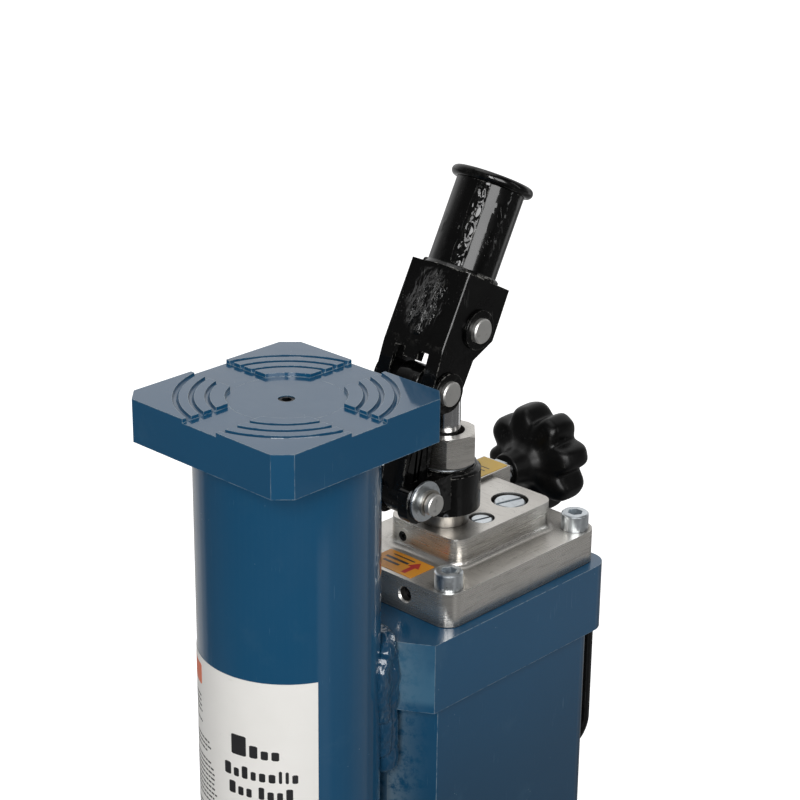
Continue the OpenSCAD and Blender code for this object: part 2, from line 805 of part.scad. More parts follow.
// pin along X with chamfered ends
module chamfered_pin(pin, r, chamfer, half_l) {
  toward_x(pin, 0) rotate_extrude()
    polygon([[0, -half_l], [r - chamfer, -half_l], [r, -half_l + chamfer],
      [r, half_l - chamfer], [r - chamfer, half_l], [0, half_l]]);
}
module fulcrum_pin() {
  color(ZINC) difference() {
    chamfered_pin(ring_pin, ring_pin_r, 0.6, 25.5);
    // clip grooves
    toward_x(ring_pin, 0) for (x = [-21.9, 19.7]) ring(8, 5.2, x, x + 2.2);
  }
}
module fulcrum_washers() {
  color(ZINC) washer_pair(ring_pin, r = 11.6, bore_r = 6.3,
    x_in = cheek_out + 0.1, x_out = cheek_out + 2.1);
}
module fulcrum_clips() {
  gap = 9.2;
  color(STEEL) difference() {
    washer_pair(ring_pin, r = 7.8, bore_r = 5.25, x_in = 19.75, x_out = 21.3);
    translate([-30, ring_pin[0] - gap / 2, ring_pin[1] - 20]) cube([60, gap, 20]);
  }
}
module fulcrum_link() {
  span = link_pin - ring_pin;
  length = norm(span);
  color(BLACK) translate([0, ring_pin[0], ring_pin[1]])
    rotate([-atan2(span[0], span[1]), 0, 0]) difference() {
      union() {
        for (z = [0, length]) along_x([0, z], 11, -link_x, link_x);
        translate([-link_x, -10.3, 0]) cube([2 * link_x, 20.6, length]);
      }
      along_x([0, 0], ring_hole_r, -30, 30);
      along_x([0, length], pin_hole_r, -30, 30);
    }
}
// outline of one cheek, first coordinate to the back, second along the socket
module bracket_side() {
  eye_r = 12.05;
  foot = -37.9;
  polygon([[bracket_front, 26.5], [14.8, 26.5], [15.5, 8], [15.8, -2.9], [5.5, -16.5],
    [link_local[0] + eye_r, foot], [link_local[0] - eye_r, foot], [bracket_front, -16]]);
  translate(link_local) circle(12.1);
}
module lever_bracket() {
  tab_x = 5.2;
  tab_z = -26.6;
  color(BLACK) lever_frame() difference() {
    union() {
      // channel section, open to the back, cut to the cheek's outline
      intersection() {
        translate([0, 0, -80]) linear_extrude(160) difference() {
          union() {
            rounded_rect(bracket_out, bracket_front, 30, 1.4);
            translate([-bracket_out, 0]) square([2 * bracket_out, 60]);
          }
          translate([-bracket_in, bracket_front + 4]) square([2 * bracket_in, 90]);
        }
        yz_plate(-50, 100) bracket_side();
      }
      translate([-bracket_in - 0.5, -19, 22.5]) cube([2 * bracket_in + 1, 33.2, 4]);
      translate([-tab_x, -19.2, tab_z]) cube([2 * tab_x, 3, 8]);
    }
    // opening in the front web, with a short tab left in the middle of its upper edge
    difference() {
      translate([-12.3, -30, -60]) cube([24.6, 13, 38.4]);
      translate([-tab_x, -31, tab_z]) cube([2 * tab_x, 15, 6]);
    }
    for (hole = [[0, 0], link_local]) along_x(hole, pin_hole_r, -40, 40);
  }
}
// tube with a foot fillet and a rolled rim
module handle_socket() {
  foot = 26.55;
  color(BLACK) lever_frame() translate([0, -4, 0]) rotate_extrude() difference() {
    union() {
      translate([socket_bore_r, foot]) square([socket_r - socket_bore_r, 54]);
      translate([socket_r - 0.1, foot]) polygon([[0, 0], [1.9, 0], [0, 2.2]]);
      translate([socket_r + 1, 79.6]) circle(3, $fn = 32);
    }
    translate([socket_bore_r - 5, 20]) square([5, 80]);
  }
}
module lever_pins() {
  color(ZINC) chamfered_pin(plunger_pin, lever_pin_r, 0.7, 26.2);
  color(ZINC) chamfered_pin(link_pin, lever_pin_r, 0.7, 26);
}
module lever_washers() {
  for (pin = [plunger_pin, link_pin]) color(BLACK) washer_pair(pin, r = 11.2,
    bore_r = pin_hole_r, x_in = bracket_out + fit, x_out = bracket_out + 2);
}
module lever_spacers() {
  for (spacer = [[plunger_pin, 13.6], [link_pin, 8.2]])   // pin, inner end
    color(ZINC) washer_pair(spacer[0], r = 9.5,
      bore_r = pin_hole_r, x_in = spacer[1], x_out = bracket_in - 0.1);
}
module plunger() {
  color(ZINC) difference() {
    union() {
      post(pump, plunger_r, 227, 140);
      along_x(plunger_pin, 14, -13.4, 13.4);
    }
    along_x(plunger_pin, 8.85, -20, 20);
  }
}

base_plate();
guide_column();
column_guide_band();
ram_rod();
base_bolt();
piston_head();
piston_seals();
piston_nut();
leg_pivot_bolts();
leg_left();
leg_right();
lifting_tube();
head_plate();
cylinder_barrel();
vent_screw();
cylinder_gland();
rod_wiper();
tube_guide_bush();
toe();
toe_weld();
tube_label();
tank_shell();
tank_floor();
tank_collar();
tank_weld();
carry_handle();
filler_plug();
pressure_adapter();
pressure_pipe();
block_gasket();
pump_block();
block_screws();
valve_plugs();
check_balls();
check_springs();
safety_valve();
port_plugs();
notice_labels();
pump_barrel();
plunger_seals();
gland_nut();
thrust_washer();
suction_tube();
suction_strainer();
spindle_gland();
release_spindle();
star_knob();
knob_insert();
swivel_ring();
fulcrum_pin();
fulcrum_washers();
fulcrum_clips();
fulcrum_link();
lever_bracket();
handle_socket();
lever_pins();
lever_washers();
lever_spacers();
plunger();
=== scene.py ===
# A hydraulic jack with a lifting toe, an oil tank, a pump block and a hand lever.
# The main column stands on the Z axis. The toe is towards -y; the block, the lever and the
# star knob are towards +y. The floor is just under z = 0. Shapes are worked out in mm and
# turned into metres with MM; shader sizes are in metres.
import math
import bpy
import bmesh
import numpy as np
from mathutils import Vector, Matrix, noise


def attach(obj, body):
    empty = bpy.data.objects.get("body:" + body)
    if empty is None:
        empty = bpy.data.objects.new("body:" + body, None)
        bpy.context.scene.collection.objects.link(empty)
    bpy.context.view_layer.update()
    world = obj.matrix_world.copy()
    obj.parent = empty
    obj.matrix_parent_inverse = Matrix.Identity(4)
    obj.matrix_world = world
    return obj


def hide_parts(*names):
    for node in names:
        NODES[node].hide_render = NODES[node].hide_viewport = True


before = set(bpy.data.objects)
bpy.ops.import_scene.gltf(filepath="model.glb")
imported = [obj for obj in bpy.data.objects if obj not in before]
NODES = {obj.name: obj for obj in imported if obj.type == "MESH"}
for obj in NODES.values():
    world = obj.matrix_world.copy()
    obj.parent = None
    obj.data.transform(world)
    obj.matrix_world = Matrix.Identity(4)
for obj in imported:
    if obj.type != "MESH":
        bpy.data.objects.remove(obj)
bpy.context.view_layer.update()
MM = 0.001
SIDES = ((1, "right"), (-1, "left"))  # sign of x, name


# ------------------------------------------------------------------ shader helpers
def srgb(red, green, blue):
    """8-bit sRGB to linear"""
    return tuple((c / 255) / 12.92 if c / 255 <= 0.04045 else ((c / 255 + 0.055) / 1.055) ** 2.4
                 for c in (red, green, blue))


class Nodes:
    """Short calls that add nodes to one shader tree; most return an output socket."""

    def __init__(self, tree):
        self.tree = tree
        tree.nodes.clear()

    def new(self, kind):
        return self.tree.nodes.new("ShaderNode" + kind)

    def put(self, socket, value):
        """link a socket, or set a value"""
        if isinstance(value, bpy.types.NodeSocket):
            self.tree.links.new(value, socket)
        elif socket.type == "RGBA":
            socket.default_value = (*value, 1.0)
        else:
            socket.default_value = value

    def shader(self, kind, *inputs):
        """a node with its first inputs filled in order; None leaves one alone"""
        node = self.new(kind)
        for socket, value in zip(node.inputs, inputs):
            if value is not None:
                self.put(socket, value)
        return node.outputs[0]

    def math(self, operation, a, b=None, clamp=False):
        node = self.new("Math")
        node.operation = operation
        node.use_clamp = clamp
        self.put(node.inputs[0], a)
        if b is not None:
            self.put(node.inputs[1], b)
        return node.outputs[0]

    def times(self, a, b):
        return self.math("MULTIPLY", a, b)

    def vmath(self, operation, a, b=None):
        node = self.new("VectorMath")
        node.operation = operation
        self.put(node.inputs[0], a)
        if b is not None:
            self.put(node.inputs[1], b)
        return node.outputs["Value" if operation in ("DOT_PRODUCT", "LENGTH") else "Vector"]

    def mix(self, amount, under, over, blend="MIX"):
        node = self.new("Mix")
        node.data_type = "RGBA"
        node.blend_type = blend
        self.put(node.inputs["Factor"], amount)
        self.put(node.inputs[6], under)
        self.put(node.inputs[7], over)
        return node.outputs[2]

    def geometry(self, output):
        return self.new("NewGeometry").outputs[output]


class Paint(Nodes):
    """A material with one Principled shader, and the patterns it is built from."""

    def __init__(self, name):
        self.mat = bpy.data.materials.new(name)
        self.mat.use_nodes = True
        super().__init__(self.mat.node_tree)
        output = self.new("OutputMaterial")
        self.principled = self.new("BsdfPrincipled")
        self.put(output.inputs[0], self.principled.outputs[0])
        self.coord = self.new("TexCoord").outputs["Object"]

    def set(self, **inputs):
        for name, value in inputs.items():
            self.put(self.principled.inputs[name.replace("_", " ")], value)

    def noise(self, scale, detail=3.0, rough=0.55, vector=None, stretch=None, distort=0.0):
        node = self.new("TexNoise")
        node.inputs["Scale"].default_value = scale
        node.inputs["Detail"].default_value = detail
        node.inputs["Roughness"].default_value = rough
        node.inputs["Distortion"].default_value = distort
        vector = self.coord if vector is None else vector
        if stretch is not None:
            vector = self.vmath("MULTIPLY", vector, stretch)
        self.put(node.inputs["Vector"], vector)
        return node.outputs["Fac"]

    def smooth(self, value, low, high, start=0.0, end=1.0):
        """start at low, end at high, with a smooth step between"""
        node = self.new("MapRange")
        node.interpolation_type = "SMOOTHSTEP"
        self.put(node.inputs["Value"], value)
        for key, number in (("From Min", low), ("From Max", high),
                            ("To Min", start), ("To Max", end)):
            node.inputs[key].default_value = number
        return node.outputs[0]

    def patches(self, low, high, start=0.0, end=1.0, **noise_inputs):
        return self.smooth(self.noise(**noise_inputs), low, high, start, end)

    def specks(self, scale, rim, core, area_scale, low, high):
        """small round dots, kept to some areas"""
        node = self.new("TexVoronoi")
        node.inputs["Scale"].default_value = scale
        self.put(node.inputs["Vector"], self.coord)
        dots = self.smooth(node.outputs["Distance"], rim, core)
        return self.times(dots, self.patches(low, high, scale=area_scale, detail=2))

    def overlay(self, under, mask, strength, over):
        return self.mix(self.times(mask, strength), under, over)

    def bump(self, height, strength, distance, normal=None):
        node = self.new("Bump")
        node.inputs["Strength"].default_value = strength
        node.inputs["Distance"].default_value = distance
        self.put(node.inputs["Height"], height)
        if normal is not None:
            self.put(node.inputs["Normal"], normal)
        return node.outputs[0]

    def edge(self, radius, gain):
        """0 on faces, towards 1 on edges; radius in mm"""
        node = self.new("Bevel")
        node.samples = 4
        node.inputs["Radius"].default_value = radius * MM
        facing = self.vmath("DOT_PRODUCT", node.outputs[0], self.geometry("True Normal"))
        turned = self.math("SUBTRACT", 1.0, facing, clamp=True)
        return self.math("MULTIPLY", turned, gain, clamp=True)

    def z_of(self, vector):
        node = self.new("SeparateXYZ")
        self.put(node.inputs[0], vector)
        return node.outputs[2]

    def hairlines(self, rotation, seed, scale, length, cut, area):
        """short straight scratches: a stretched noise, cut high, in patches"""
        node = self.new("Mapping")
        node.inputs["Location"].default_value = (seed, seed * 0.7, seed * 1.3)
        node.inputs["Rotation"].default_value = rotation
        node.inputs["Scale"].default_value = (1, 1, length)
        self.put(node.inputs["Vector"], self.coord)
        lines = self.patches(cut, cut + 0.03, scale=scale, detail=0.0, rough=0.5,
                             vector=node.outputs[0])
        shifted = self.vmath("ADD", self.coord, (seed, 3 + seed, 1.7))
        gate = self.patches(area, area + 0.08, scale=45, detail=2, rough=0.6, vector=shifted)
        return self.times(lines, gate)


# ------------------------------------------------------------------ materials
def make_blue(name, wear=1.0, haze_and_shaded_foot=False, deep=srgb(11, 70, 104), pale=srgb(14, 77, 113)):
    t = Paint(name)
    colour = t.mix(t.noise(scale=9, detail=3, rough=0.5), deep, pale)
    if haze_and_shaded_foot:
        # dry overspray on the upper part of faces turned to +x -y, and painted shade: the paint
        # darkens towards the foot
        facing = t.vmath("DOT_PRODUCT", t.geometry("Normal"), (0.53, -0.848, 0.0))
        mask = t.times(t.smooth(facing, low=0.90, high=0.97),
                       t.patches(scale=34, detail=4, rough=0.6, low=0.28, high=0.72, start=0.15))
        mask = t.times(mask, t.smooth(t.z_of(t.coord), low=0.181, high=0.1865, start=0.12))
        colour = t.overlay(colour, mask, strength=0.50, over=srgb(84, 126, 150))
        # painted shade: darker towards the bottom of the tank
        foot = t.smooth(t.z_of(t.coord), low=0.205, high=0.09)
        colour = t.overlay(colour, foot, strength=0.42, over=srgb(18, 46, 66))
    spots = t.specks(scale=300, rim=0.12, core=0.05, area_scale=50, low=0.64, high=0.68)
    colour = t.overlay(colour, spots, strength=0.55, over=srgb(130, 158, 176))
    scratches = t.hairlines(rotation=(0.5, 0.9, 0.2), seed=2.0, scale=2400, length=0.015,
                            cut=0.76, area=0.57)
    colour = t.overlay(colour, scratches, strength=0.30, over=srgb(95, 130, 155))
    worn = t.times(t.edge(radius=0.7, gain=9.0),
                   t.patches(scale=150, detail=4, rough=0.7, low=0.34, high=0.56))
    worn = t.times(worn, 0.75 * wear)
    colour = t.mix(worn, colour, srgb(150, 168, 176))
    scuffs = t.patches(scale=30, detail=5, rough=0.65, low=0.56, high=0.74)
    colour = t.overlay(colour, scuffs, strength=0.16, over=srgb(62, 100, 124))
    normal = t.bump(t.noise(scale=420, detail=2, rough=0.5), strength=0.05, distance=0.00015)
    normal = t.bump(t.noise(scale=38, detail=2, rough=0.5), strength=0.02 if haze_and_shaded_foot else 0.07,
                    distance=0.0006, normal=normal)
    normal = t.bump(spots, strength=0.25, distance=0.0002, normal=normal)
    rough = t.patches(scale=26, detail=4, rough=0.6, low=0.3, high=0.7, start=0.30, end=0.40)
    t.set(Base_Color=colour, Roughness=t.math("ADD", rough, t.times(worn, 0.2)), Normal=normal,
          Coat_Weight=1.0, Specular_IOR_Level=0.15, Coat_Normal=normal,
          Coat_Roughness=t.patches(scale=20, detail=4, rough=0.6, low=0.35, high=0.75,
                                   start=0.12 if haze_and_shaded_foot else 0.03, end=0.17 if haze_and_shaded_foot else 0.09))
    return t.mat


def make_black(name, lump_strength, scuffed=False):
    t = Paint(name)
    colour = t.mix(t.noise(scale=14), srgb(2, 2, 2), srgb(6, 6, 6))
    scratches = t.math(
        "MAXIMUM",
        t.hairlines(rotation=(0.5, 0.3, 0.1), seed=1.0, scale=1700, length=0.03,
                    cut=0.74, area=0.58),
        t.hairlines(rotation=(-0.6, 0.2, 0.5), seed=5.0, scale=1500, length=0.04,
                    cut=0.75, area=0.60))
    colour = t.overlay(colour, scratches, strength=0.35, over=srgb(110, 110, 108))
    chips = t.specks(scale=200, rim=0.10, core=0.06, area_scale=40, low=0.66, high=0.69)
    colour = t.overlay(colour, chips, strength=0.7, over=srgb(150, 148, 142))
    worn = t.times(t.edge(radius=0.8, gain=9.0),
                   t.patches(scale=230, detail=4, rough=0.7, low=0.50, high=0.62))
    colour = t.overlay(colour, worn, strength=0.7, over=srgb(170, 168, 162))
    lumps = t.times(t.noise(scale=105, rough=0.5),
                    t.patches(scale=38, rough=0.6, low=0.52, high=0.68))
    normal = t.bump(t.noise(scale=600, detail=2), strength=0.06, distance=0.00012)
    normal = t.bump(t.noise(scale=60, detail=2), strength=0.10, distance=0.0005, normal=normal)
    normal = t.bump(lumps, strength=lump_strength, distance=0.0016, normal=normal)
    normal = t.bump(t.times(scratches, -1.0), strength=0.35, distance=0.00025, normal=normal)
    if scuffed:
        # rubbed and dented patch on the -y side of the lever bracket
        centre, squeeze = (-0.002, 0.1064, 0.3933), (1.15, 1.0, 0.85)
        offset = t.vmath("MULTIPLY", t.vmath("SUBTRACT", t.coord, centre), squeeze)
        ragged = t.math("ADD", t.vmath("LENGTH", offset),
                        t.times(t.noise(scale=55, rough=0.6), 0.024))
        zone = t.times(t.smooth(ragged, low=0.029, high=0.018),
                       t.patches(scale=1.0, rough=0.6, stretch=(150, 60, 60), low=0.38, high=0.56))
        dents = t.noise(scale=1.0, detail=4, rough=0.6, stretch=(190, 95, 95), distort=0.8)
        normal = t.bump(t.times(dents, zone), strength=0.90, distance=0.0045, normal=normal)
        rub = t.times(zone, t.patches(scale=1.0, detail=4, rough=0.7, stretch=(520, 170, 170),
                                      low=0.56, high=0.70))
        colour = t.overlay(colour, rub, strength=0.42, over=srgb(128, 124, 116))
    rough = t.patches(scale=48, detail=4, rough=0.6, low=0.35, high=0.7, start=0.26, end=0.42)
    t.set(Base_Color=colour, Roughness=t.math("ADD", rough, t.times(chips, 0.3)), Normal=normal,
          Coat_Weight=0.56, Specular_IOR_Level=0.06, Coat_Normal=normal,
          Coat_Roughness=t.patches(scale=55, detail=4, rough=0.6, low=0.35, high=0.7,
                                   start=0.05, end=0.16))
    return t.mat


def make_machined(name):
    """bare block: level tool lines on the sides, lines along y on the top, painted shade in its
    corners
    """
    t = Paint(name)
    top = t.smooth(t.math("ABSOLUTE", t.z_of(t.geometry("Normal"))), low=0.55, high=0.8)
    side_fine = t.noise(scale=1.0, rough=0.6, stretch=(25, 25, 2600))
    side_wide = t.noise(scale=1.0, detail=2, rough=0.5, stretch=(60, 60, 520))
    top_fine = t.noise(scale=1.0, rough=0.6, stretch=(2300, 55, 20))
    top_wide = t.noise(scale=1.0, detail=2, rough=0.6, stretch=(120, 900, 20))
    side = t.math("SUBTRACT", 1.0, top)
    fine = t.math("ADD", t.times(side_fine, side), t.times(top_fine, top))
    wide = t.math("ADD", t.times(side_wide, side), t.times(top_wide, top))
    blot = t.noise(scale=24, detail=4, rough=0.6)
    colour = t.mix(blot, srgb(222, 219, 213), srgb(200, 196, 190))
    colour = t.mix(t.smooth(wide, low=0.52, high=0.75, end=0.30), colour, srgb(122, 119, 114))
    dots = t.specks(scale=520, rim=0.16, core=0.08, area_scale=90, low=0.60, high=0.66)
    colour = t.overlay(colour, dots, strength=0.55, over=srgb(95, 90, 84))
    # painted shade: concave corners and the ground round the screws are darkened by an occlusion
    # node
    corners = t.new("AmbientOcclusion")
    corners.samples = 6
    corners.inputs["Distance"].default_value = 15 * MM
    painted_corner_shade = t.smooth(corners.outputs["AO"], low=0.84, high=0.52, end=0.85)
    colour = t.mix(painted_corner_shade, colour, srgb(62, 60, 58))
    colour = t.overlay(colour, t.edge(radius=0.9, gain=6.0), strength=0.5,
                       over=srgb(232, 231, 229))
    rough = t.math("ADD", t.smooth(fine, low=0.3, high=0.7, start=0.26, end=0.38),
                   t.smooth(blot, low=0.4, high=0.7, end=0.08))
    rough = t.math("SUBTRACT", rough, t.times(side, 0.05))
    normal = t.bump(fine, strength=0.22, distance=0.00012)
    normal = t.bump(wide, strength=0.12, distance=0.0002, normal=normal)
    t.set(Base_Color=colour, Metallic=0.87, Roughness=rough, Normal=normal, Anisotropic=0.35)
    return t.mat


def make_metal(name, light, dull, rough_low, rough_high, grain, strength, dirt=None):
    t = Paint(name)
    light = srgb(*light)
    blot = t.noise(scale=60, detail=4, rough=0.6)
    colour = t.mix(blot, light, srgb(*dull))
    if dirt is not None:
        mask = t.patches(scale=140, detail=4, rough=0.7, low=0.55, high=0.72)
        colour = t.overlay(colour, mask, strength=0.5, over=srgb(*dirt))
    colour = t.overlay(colour, t.edge(radius=0.5, gain=6.0), strength=0.4,
                       over=tuple(min(1.0, c * 1.25) for c in light))
    lines = t.noise(scale=1.0, rough=0.6, stretch=grain)
    both = t.math("ADD", t.times(lines, 0.5), t.times(blot, 0.5))
    t.set(Base_Color=colour, Metallic=1.0,
          Roughness=t.smooth(both, low=0.3, high=0.7, start=rough_low, end=rough_high),
          Normal=t.bump(lines, strength, distance=0.00012))
    return t.mat


def make_rubber(name):
    t = Paint(name)
    t.set(Base_Color=t.mix(t.noise(scale=120), srgb(18, 18, 19), srgb(34, 33, 33)),
          Roughness=t.patches(scale=300, low=0.3, high=0.7, start=0.55, end=0.75),
          Normal=t.bump(t.noise(scale=1500, detail=2), strength=0.2, distance=0.0002))
    return t.mat


def make_knob_plastic(name):
    t = Paint(name)
    colour = t.mix(t.noise(scale=20), srgb(3, 3, 3), srgb(6, 6, 6))
    scratches = t.hairlines(rotation=(0.4, 1.1, 0.3), seed=4.0, scale=1900, length=0.04,
                            cut=0.72, area=0.52)
    colour = t.overlay(colour, scratches, strength=0.25, over=srgb(90, 90, 90))
    normal = t.bump(t.noise(scale=90), strength=0.10, distance=0.0005)
    normal = t.bump(t.noise(scale=1400, detail=2), strength=0.06, distance=0.0001, normal=normal)
    t.set(Base_Color=colour, Normal=normal, Specular_IOR_Level=0.22,
          Roughness=t.patches(scale=60, low=0.3, high=0.7, start=0.30, end=0.42))
    return t.mat


def make_film(name, light, dull, rough=0.35):
    t = Paint(name)
    colour = t.mix(t.noise(scale=35), srgb(*light), srgb(*dull))
    fibre = t.noise(scale=1.0, detail=2, rough=0.5, stretch=(1600, 1600, 1600))
    dirt = t.patches(scale=150, detail=5, rough=0.7, low=0.62, high=0.78)
    colour = t.overlay(colour, dirt, strength=0.12, over=(0.25, 0.24, 0.22))
    t.set(Base_Color=colour, Coat_Weight=0.2, Coat_Roughness=0.2,
          Roughness=t.patches(scale=90, low=0.3, high=0.7, start=rough, end=rough + 0.1),
          Normal=t.bump(fibre, strength=0.05, distance=0.0001))
    return t.mat


BLUE = make_blue("blue_paint")
BLUE_TANK = make_blue("blue_paint_tank", haze_and_shaded_foot=True)
# painted shade: the weld beads get a darker copy of the blue paint
BLUE_WELD_SHADED = make_blue("blue_paint_weld_shaded", wear=0.3, deep=srgb(10, 56, 84), pale=srgb(13, 64, 95))
BLACK = make_black("black_paint", lump_strength=0.30, scuffed=True)
BLACK_SMOOTH = make_black("black_paint_smooth", lump_strength=0.0)
MACHINED = make_machined("machined_block")
# name, light colour, dull colour, lowest and highest roughness, grain stretch, grain bump, dirt
ZINC, PIN, CHROME, STEEL, DARK, BRONZE = [make_metal(*row) for row in (
    ("zinc_plate", (220, 226, 230), (200, 206, 211), 0.26, 0.42, (500, 500, 500), 0.05,
     (120, 124, 126)),
    ("pin_steel", (214, 213, 210), (184, 183, 180), 0.42, 0.58, (60, 1400, 1400), 0.12,
     (90, 88, 85)),
    ("hard_chrome", (235, 235, 236), (222, 223, 226), 0.13, 0.2, (30, 30, 2400), 0.03),
    ("turned_steel", (178, 174, 168), (150, 146, 140), 0.26, 0.40, (40, 40, 1800), 0.15,
     (90, 84, 76)),
    ("black_oxide", (46, 46, 48), (30, 30, 31), 0.30, 0.48, (400, 400, 400), 0.12),
    ("turned_bronze", (196, 160, 92), (168, 132, 72), 0.26, 0.42, (40, 40, 1500), 0.14,
     (90, 66, 36)),
)]
RUBBER = make_rubber("seal_rubber")
KNOB = make_knob_plastic("knob_phenolic")
# name, light colour, dull colour, roughness where it is not the usual one
LABEL, NOTICE, NOTICE_YELLOW, INK, RED, ORANGE = [make_film(*row) for row in (
    ("label_film", (246, 244, 240), (238, 236, 231)),
    ("notice_film", (238, 160, 24), (230, 148, 16)),
    ("notice_film_yellow", (228, 190, 70), (214, 172, 56)),
    ("print_ink", (28, 28, 30), (42, 42, 44), 0.4),
    ("print_red", (196, 40, 30), (180, 32, 26), 0.4),
    ("print_orange", (238, 110, 50), (228, 98, 40), 0.4),
)]

# ------------------------------------------------------------------ the CAD pieces
LOOK = {name: material for material, names in (
    (BLUE, "base_plate leg_left leg_right lifting_tube head_plate cylinder_barrel toe toe_weld"
           " tank_floor tank_weld"),
    (BLUE_TANK, "tank_shell tank_collar"),
    (BLACK, "carry_handle swivel_ring fulcrum_link lever_bracket handle_socket lever_washers"),
    (MACHINED, "pump_block gland_nut"),
    (ZINC, "block_screws valve_plugs fulcrum_washers pressure_adapter pressure_pipe"
           " filler_plug spindle_gland leg_pivot_bolts thrust_washer"),
    (PIN, "fulcrum_pin lever_pins"),
    (CHROME, "check_balls plunger ram_rod release_spindle"),
    (STEEL, "guide_column pump_barrel piston_head piston_nut cylinder_gland fulcrum_clips"
            " check_springs suction_tube base_bolt"),
    (DARK, "lever_spacers vent_screw port_plugs safety_valve"),
    (BRONZE, "tube_guide_bush column_guide_band suction_strainer knob_insert"),
    (RUBBER, "piston_seals rod_wiper plunger_seals block_gasket"),
    (KNOB, "star_knob"),
    (LABEL, "tube_label"),
    (NOTICE, "notice_labels"),
) for name in names.split()}
# radius in mm of the broken edges; pieces not listed keep sharp ones
EDGE = {"head_plate": 0.7, "tank_collar": 1.2, "tank_shell": 1.6, "tank_floor": 0.8,
        "pump_block": 0.8, "toe": 1.4, "base_plate": 0.9, "leg_left": 0.9, "leg_right": 0.9,
        "lever_bracket": 0.7, "fulcrum_link": 0.8, "swivel_ring": 0.6, "lifting_tube": 0.6,
        "gland_nut": 0.35, "block_screws": 0.25, "lever_washers": 0.3, "fulcrum_washers": 0.3,
        "valve_plugs": 0.25, "filler_plug": 0.4, "leg_pivot_bolts": 0.4, "spindle_gland": 0.3,
        "handle_socket": 0.4, "pump_barrel": 0.3}


def finish_node(piece, material, edge):
    piece.data.materials.clear()
    piece.data.materials.append(material)
    for polygon in piece.data.polygons:
        polygon.use_smooth = True
    weld = piece.modifiers.new("weld", "WELD")
    weld.merge_threshold = 0.000004
    if edge:
        bevel = piece.modifiers.new("edges", "BEVEL")
        bevel.width = edge * MM
        bevel.segments = 2
        bevel.limit_method = "ANGLE"
        bevel.angle_limit = math.radians(33)
        bevel.use_clamp_overlap = True
        bevel.miter_outer = "MITER_ARC"
    split = piece.modifiers.new("split", "EDGE_SPLIT")
    split.split_angle = math.radians(46 if edge else 32)
    if edge:
        normals = piece.modifiers.new("normals", "WEIGHTED_NORMAL")
        normals.mode = "FACE_AREA"
        normals.weight = 80
        normals.keep_sharp = True


for name, piece in NODES.items():
    finish_node(piece, LOOK[name], EDGE.get(name, 0))


# ------------------------------------------------------------------ mesh helpers
def add_piece(name, shape, material, body="housing", replaces=None, smooth=True):
    verts, faces = shape
    mesh = bpy.data.meshes.new(name)
    mesh.from_pydata([tuple(v) for v in verts], [], faces)
    mesh.validate()
    mesh.materials.append(material)
    bm = bmesh.new()
    bm.from_mesh(mesh)
    bmesh.ops.recalc_face_normals(bm, faces=bm.faces)
    bm.to_mesh(mesh)
    bm.free()
    for polygon in mesh.polygons:
        polygon.use_smooth = smooth
    piece = bpy.data.objects.new(name, mesh)
    bpy.context.scene.collection.objects.link(piece)
    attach(piece, body)
    if replaces:
        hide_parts(replaces)
    return piece


def tube(rings, capped=True):
    """verts and faces of a tube through equal rings of points"""
    n = len(rings[0])
    verts = [p for ring in rings for p in ring]
    faces = []
    for i in range(len(rings) - 1):
        for j in range(n):
            a, b = i * n + j, i * n + (j + 1) % n
            faces.append((a, b, b + n, a + n))
    if capped:
        for base, ring in ((0, rings[0]), ((len(rings) - 1) * n, rings[-1])):
            centre = len(verts)
            verts.append(tuple(sum(p[k] for p in ring) / n for k in range(3)))
            faces += [(base + j, base + (j + 1) % n, centre) for j in range(n)]
    return verts, faces


def slab_faces(rows, cols):
    """faces of a closed slab between two grids of (rows + 1) x (cols + 1) points"""
    n = cols + 1
    layer = (rows + 1) * n
    faces = []
    for i in range(rows):
        for j in range(cols):
            a = i * n + j
            faces.append((a, a + n, a + n + 1, a + 1))
            faces.append((layer + a, layer + a + 1, layer + a + n + 1, layer + a + n))
    rim = [i * n for i in range(rows + 1)] + [rows * n + j for j in range(1, n)]
    rim += [i * n + cols for i in range(rows - 1, -1, -1)] + list(range(cols - 1, 0, -1))
    for k, a in enumerate(rim):
        b = rim[(k + 1) % len(rim)]
        faces.append((a, b, b + layer, a + layer))
    return faces


def join_parts(parts):
    verts, faces = [], []
    for part_verts, part_faces in parts:
        first = len(verts)
        verts += part_verts
        faces += [tuple(i + first for i in face) for face in part_faces]
    return verts, faces


def plate(outline, z0, z1):
    """an outline of (x, y) points in mm, extruded between two heights"""
    n = len(outline)
    verts = [Vector((x, y, z)) * MM for z in (z0, z1) for x, y in outline]
    faces = [tuple(range(n - 1, -1, -1)), tuple(range(n, 2 * n))]
    faces += [(i, (i + 1) % n, (i + 1) % n + n, i + n) for i in range(n)]
    return verts, faces


def bar(x0, y0, x1, y1, z0, z1):
    return plate([(x0, y0), (x1, y0), (x1, y1), (x0, y1)], z0, z1)


def rounded(x0, y0, x1, y1, radius, steps=5):
    """outline of a rectangle with round corners"""
    corners = ((x1 - radius, y0 + radius, -90), (x1 - radius, y1 - radius, 0),
               (x0 + radius, y1 - radius, 90), (x0 + radius, y0 + radius, 180))
    return [(x + radius * math.cos(math.radians(start + 90 * k / steps)),
             y + radius * math.sin(math.radians(start + 90 * k / steps)))
            for x, y, start in corners for k in range(steps + 1)]


# ------------------------------------------------------------------ star knob
KNOB_X, KNOB_Z = -30.4, 251.5  # its axis runs along y
KNOB_LOBES = 8
KNOB_LOBE_ANGLE = 15  # degrees, where the first lobe stands
KNOB_SEGMENTS = 256
KNOB_FILL = 4  # rings for each step of the profile
KNOB_END = 253.2
